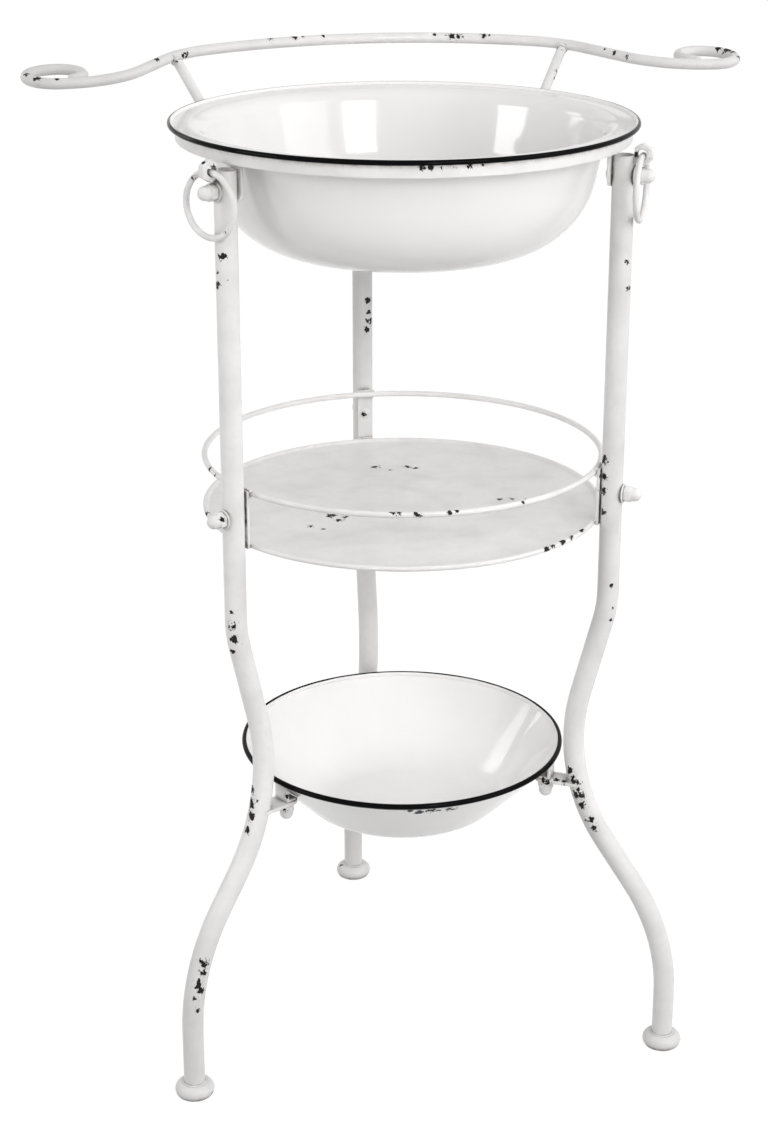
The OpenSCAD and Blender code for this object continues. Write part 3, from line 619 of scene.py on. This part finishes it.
# %% Beads round the feet
FOOT_BEAD = 1.1
for number, (side, direction) in enumerate(LEG_DIRECTION.items()):
    ring = weld_ring(TUBE_R + 0.4, FOOT_BEAD, number)
    bead = at_leg(ring, direction, FOOT_PLACE[side], FOOT_H)
    piece("foot_weld_" + side, bead, paint_foot, "stand", crease=80)

# %% [markdown]
# ## Acorn nuts and washers
# The nuts are cast acorn nuts, painted over with everything else, so every corner is soft. The
# hexagon is an extruded six-sided circle with bevelled edges; the dome is spun.

# %% Make one acorn nut
NUT_FLATS, NUT_HEX_H, NUT_DOME_R, NUT_H = 13.0, 6.5, 6.0, 15.4
NUT_STEPS = 48
NUT_EASE, WASHER_EDGE = 0.6, 0.8
WASHER_R, WASHER_T, BOLT_R = 8.5, 1.6, 4.0


def hexagon(flats, height, ease):
    """A six-sided block with softened edges, standing on the Z axis."""
    shape = bmesh.new()
    corner = flats / 2 / math.cos(math.pi / 6) / 1000
    ring = bmesh.ops.create_circle(shape, cap_ends=True, segments=6, radius=corner)["verts"]
    turn = Matrix.Rotation(math.radians(30), 3, "Z")
    bmesh.ops.rotate(shape, verts=ring, cent=(0, 0, 0), matrix=turn)
    top = bmesh.ops.extrude_face_region(shape, geom=list(shape.faces))["geom"]
    lifted = [part for part in top if isinstance(part, bmesh.types.BMVert)]
    bmesh.ops.translate(shape, verts=lifted, vec=(0, 0, height / 1000))
    bmesh.ops.recalc_face_normals(shape, faces=shape.faces)
    bmesh.ops.bevel(shape, geom=list(shape.edges), offset=ease / 1000, segments=3, profile=0.5,
                    affect="EDGES", material=-1)
    return shape


def acorn_nut():
    """A nut standing on the Z axis at height 0, and the washer just below it."""
    # The dome starts inside the hexagon, so that no gap shows between them.
    dome_z = NUT_H - NUT_DOME_R
    dome = [(NUT_DOME_R + 0.5, NUT_HEX_H - 0.5), (NUT_DOME_R + 0.1, NUT_HEX_H + 0.3)]
    dome += arc((0, dome_z), NUT_DOME_R, 0, 90, 12)
    nut = joined([hexagon(NUT_FLATS, NUT_HEX_H, NUT_EASE), turned(dome, NUT_STEPS)])
    washer = arc((WASHER_R - WASHER_EDGE, -WASHER_EDGE), WASHER_EDGE, -90, 90, 8)
    washer = [(BOLT_R, -WASHER_T)] + washer + [(BOLT_R, 0)]
    return nut, turned(washer, NUT_STEPS, closed=True)


# %% Put the nuts and washers in place
POINTING_OUT = Matrix.Rotation(math.pi / 2, 4, "Y")
POINTING_DOWN = Matrix.Rotation(math.pi, 4, "X")
LEG_CIRCLE_R = 191.4
LEG_OUTSIDE = LEG_CIRCLE_R + TUBE_R
TOP_BOLT_Z, SHELF_BOLT_Z = 819.0, 542.0
STUD_R, LUG_Z = 139.6, 258.0
SEAT_R = LEG_OUTSIDE + WASHER_T
NUT_ROWS = {
    "top": (POINTING_OUT, SEAT_R, TOP_BOLT_Z, "top_acorn_nuts", "top_washers"),
    "shelf": (POINTING_OUT, SEAT_R, SHELF_BOLT_Z, "shelf_acorn_nuts", "shelf_washers"),
    "bowl": (POINTING_DOWN, STUD_R, LUG_Z - WASHER_T, "bowl_acorn_nuts", "bowl_washers")}
for row, (pointing, radius, height, nut_node, washer_node) in NUT_ROWS.items():
    for side, direction in LEG_DIRECTION.items():
        nut, washer = acorn_nut()
        place = leg_frame(direction, radius, height) @ pointing
        for shape in (nut, washer):
            bmesh.ops.transform(shape, matrix=place, verts=shape.verts)
        finish = paint_lug if row == "bowl" else paint_nut
        piece(f"{row}_nut_{side}", nut, finish, "stand", [nut_node])
        piece(f"{row}_washer_{side}", washer, finish, "stand", [washer_node])

# %% [markdown]
# ## Flat irons with eased edges
# Straps, tabs and lugs are cut from flat bar, the eyes from six-sided bar, and the hoop is bent
# from flat bar. The CAD solids have knife edges, and paint rounds them off, so each is copied, its
# loose triangles are merged into clean faces, and its edges get a narrow bevel.


# %% Ease the edges of a CAD part
FLAT_WITHIN, SHARP_FROM = math.radians(1.5), math.radians(28)


def eased(node, width, material):
    """Copy a CAD part with its sharp edges bevelled by a width in millimetres."""
    shape = bmesh.new()
    shape.from_mesh(nodes[node].data)
    bmesh.ops.remove_doubles(shape, verts=shape.verts, dist=1e-6)
    bmesh.ops.dissolve_limit(
        shape, angle_limit=FLAT_WITHIN, use_dissolve_boundaries=False,
        verts=shape.verts, edges=shape.edges, delimit={"NORMAL"})
    paired = [edge for edge in shape.edges if len(edge.link_faces) == 2]
    sharp = [edge for edge in paired if edge.calc_face_angle() > SHARP_FROM]
    bmesh.ops.bevel(shape, geom=sharp, offset=width / 1000, segments=2, profile=0.5,
                    affect="EDGES", material=-1, clamp_overlap=True)
    piece(node + "_eased", shape, material, "stand", [node], crease=50)


LEG_PAINT = {"left": paint_left_leg, "right": paint_right_leg, "back": paint_back_leg}
for side in LEG_DIRECTION:
    eased("hoop_tab_" + side, 0.5, paint_tab)
    eased("strap_" + side, 0.5, LEG_PAINT[side])
    eased("bowl_tab_" + side, 0.45, paint_lug)
    eased("lug_" + side, 0.5, paint_lug)
for side in ("left", "right"):
    eased("eye_" + side, 0.7, paint_eye)
eased("basin_hoop", 0.6, paint_hoop)

# %% [markdown]
# ## Ripples of weld
# The lugs and the eyes on the legs, and the guard ring and the tray in their straps, were held by
# short welds, laid by hand and painted over. A short weld is a row of overlapping drops, so each
# is drawn as that: small spheres of uneven size set close together along the joint.


# %% Lay a row of drops
DROP_UNEVEN = 0.35


def drops(path, size, seed):
    """Overlapping drops of weld along a list of points, all in millimetres."""
    shape = bmesh.new()
    for number, point in enumerate(path):
        lump = noise.noise(Vector((number * 1.7, seed, 0.3)))
        radius = size * (1 + DROP_UNEVEN * lump) / 1000
        made = bmesh.ops.create_icosphere(shape, subdivisions=2, radius=radius)
        bmesh.ops.translate(shape, verts=made["verts"], vec=Vector(point) / 1000)
    return shape


def along(start, end, step=1.3):
    """Points from start to end, a step apart."""
    start, end = Vector(start), Vector(end)
    count = max(1, round((end - start).length / step))
    return [start.lerp(end, i / count) for i in range(count + 1)]


def round_the_inside(centre, height):
    """Points on a level arc round the inner side of a leg's tube."""
    radius, half, count = 9.6, 62, 16
    turn = [math.radians(180 - half + 2 * half * i / count) for i in range(count + 1)]
    return [(centre + radius * math.cos(a), radius * math.sin(a), height) for a in turn]


def across(out, half, height):
    """Points on a level line across a strap, at a distance from the axis."""
    return along((out, -half, height), (out, half, height))


# %% Weld the lugs, the guard ring and the tray
STRAP_INNER_R = 179.1
WELDS = {
    "lug_top": (round_the_inside(170.5, 261.3), 0.9),
    "lug_under": (round_the_inside(171.3, 257.8), 0.9),
    "guard_top": (across(STRAP_INNER_R - 0.7, 7.5, 564.0), 1.5),
    "guard_under": (across(STRAP_INNER_R - 0.7, 7, 558.3), 1.4),
    "tray_edge": (across(STRAP_INNER_R - 0.6, 6.5, 516.6), 1.2)}
for name, (path, size) in WELDS.items():
    for number, (side, direction) in enumerate(LEG_DIRECTION.items()):
        row = at_leg(drops(path, size, number), direction)
        piece(f"{name}_weld_{side}", row, LEG_PAINT[side], crease=80)

# %% Weld the eyes to the legs
EYE_HALF, EYE_LOW_Z, EYE_HIGH_Z = 3.4, 829.5, 835.2
EYE_DROP, EYE_STEP = 0.8, 1.2
for side in ("left", "right"):
    for edge, word in ((-1, "front"), (1, "rear")):
        out, across_leg = LEG_OUTSIDE - 0.2, EYE_HALF * edge
        path = along((out, across_leg, EYE_LOW_Z), (out, across_leg, EYE_HIGH_Z), EYE_STEP)
        row = at_leg(drops(path, EYE_DROP, edge), LEG_DIRECTION[side])
        piece(f"eye_weld_{side}_{word}", row, paint_eye, crease=80)

# %% Beads round the struts' ends
# For each end: its middle in millimetres, the strut's direction there and the bead's radius.
STRUT_BEAD, STRUT_SEED = 1.0, 7
STRUT_ENDS = {
    "left_foot": ((-150.7, 122.1, 846.0), (-0.509, 0.861, 0), 4.5),
    "right_foot": ((150.6, 122.1, 846.0), (0.599, 0.801, 0), 4.5),
    "left_head": ((-173.4, 160.8, 885.0), (-0.360, 0.609, 0.706), 4.7),
    "right_head": ((183.4, 166.0, 885.9), (0.467, 0.625, 0.625), 4.7)}
for number, (name, (centre, axis, radius)) in enumerate(STRUT_ENDS.items()):
    ring = weld_ring(radius, STRUT_BEAD, STRUT_SEED + number)
    bead = turned_to(ring, Vector(centre) / 1000, axis)
    piece("strut_weld_" + name, bead, paint_strut, crease=80)

# %% [markdown]
# ## Light and floor
# Plain studio light: a surround that is brighter to the right, to the front and above, so that
# every tube has a grey left edge, and soft windows whose reflections stand in the enamel. What the
# camera and the gloss see is a white backdrop and a white floor with a faint shadow.

# %% World
def seen_rays(steps):
    """1 on the rays that show a backdrop: the camera's, and those in gloss and in glass."""
    rays = steps.add("ShaderNodeLightPath")
    seen = steps.maths("MAXIMUM", rays.outputs["Is Camera Ray"], rays.outputs["Is Glossy Ray"])
    return steps.maths("MAXIMUM", seen, rays.outputs["Is Transmission Ray"])


BRIGHT_SIDE = (0.74, -0.62, 0.25)
DIM, BRIGHT = 0.14, 1.0
world = bpy.data.worlds.new("studio")
scene.world = world
world.use_nodes = True
steps = Steps(world.node_tree)
background = world.node_tree.nodes["Background"]
seen = seen_rays(steps)
facing = steps.add("ShaderNodeTexCoord").outputs["Generated"]
toward = steps.vector("DOT_PRODUCT", facing, BRIGHT_SIDE).outputs["Value"]
white = steps.maths("MAXIMUM", steps.ramp(toward, -1, 1, DIM, BRIGHT), seen)
background.inputs["Color"].default_value = (1, 1, 1, 1)
world.node_tree.links.new(white, background.inputs["Strength"])


# %% Soft windows
# Each line gives the name, direction and rise in degrees, distance and size in metres, and watts.
def window(name, direction, rise, distance, size, power, aim, diffuse=1.0, beam=180):
    """A soft rectangular lamp at a distance from the point aim metres up the axis."""
    data = bpy.data.lights.new(name, "AREA")
    data.shape = "RECTANGLE"
    data.size, data.size_y = size
    data.energy = power
    data.diffuse_factor = diffuse
    data.spread = math.radians(beam)
    lamp = bpy.data.objects.new(name, data)
    scene.collection.objects.link(lamp)
    turn, lift = math.radians(direction), math.radians(rise)
    level = math.cos(lift)
    away = Vector((math.cos(turn) * level, math.sin(turn) * level, math.sin(lift)))
    lamp.location = Vector((0, 0, aim)) + away * distance
    lamp.rotation_euler = away.to_track_quat("Z", "Y").to_euler()


window("window_front", -73, 18, 2.5, (0.9, 0.8), 14, aim=0.82, diffuse=0.9)
window("window_left", -173, 10, 2.5, (0.9, 0.8), 16, aim=0.82, diffuse=0.05)
window("window_back", 132, 25, 2.5, (0.6, 0.9), 4.5, aim=0.26, diffuse=0.1)
window("window_low", -78, 36, 2.2, (0.3, 0.3), 0.05, aim=0.24, beam=9)
window("window_wall", -88, -2, 2.2, (0.3, 0.3), 0.055, aim=0.80, beam=12)
window("window_right", -36, 24, 3.0, (1.6, 1.6), 18, aim=0.6)
print("windows:", len(bpy.data.lights))

# %% Floor
FLOOR_HALF, FLOOR_ROUGHNESS = 30, 0.9
FLOOR_GLOW, GLOW_SHARE = 1.08, 0.85
FLOOR_LIT, FLOOR_SEEN = (0.45, 0.45, 0.45, 1), (0.92, 0.92, 0.92, 1)
ground = bmesh.new()
bmesh.ops.create_grid(ground, x_segments=1, y_segments=1, size=FLOOR_HALF)
floor_mesh = bpy.data.meshes.new("floor")
ground.to_mesh(floor_mesh)
ground.free()
floor = bpy.data.objects.new("floor", floor_mesh)
scene.collection.objects.link(floor)
floor_paint = bpy.data.materials.new("floor")
floor_paint.use_nodes = True
tree = floor_paint.node_tree
steps = Steps(tree)
shader = tree.nodes["Principled BSDF"]
shader.inputs["Roughness"].default_value = FLOOR_ROUGHNESS
glow = steps.add("ShaderNodeEmission", {"Strength": FLOOR_GLOW})
seen = seen_rays(steps)
tone = steps.mix(seen, FLOOR_LIT, FLOOR_SEEN)
blend = steps.add("ShaderNodeMixShader", {0: steps.ramp(seen, 0, 1, 0, GLOW_SHARE)})
tree.links.new(tone, shader.inputs["Base Color"])
tree.links.new(shader.outputs[0], blend.inputs[1])
tree.links.new(glow.outputs[0], blend.inputs[2])
tree.links.new(blend.outputs[0], tree.nodes["Material Output"].inputs["Surface"])
floor_mesh.materials.append(floor_paint)
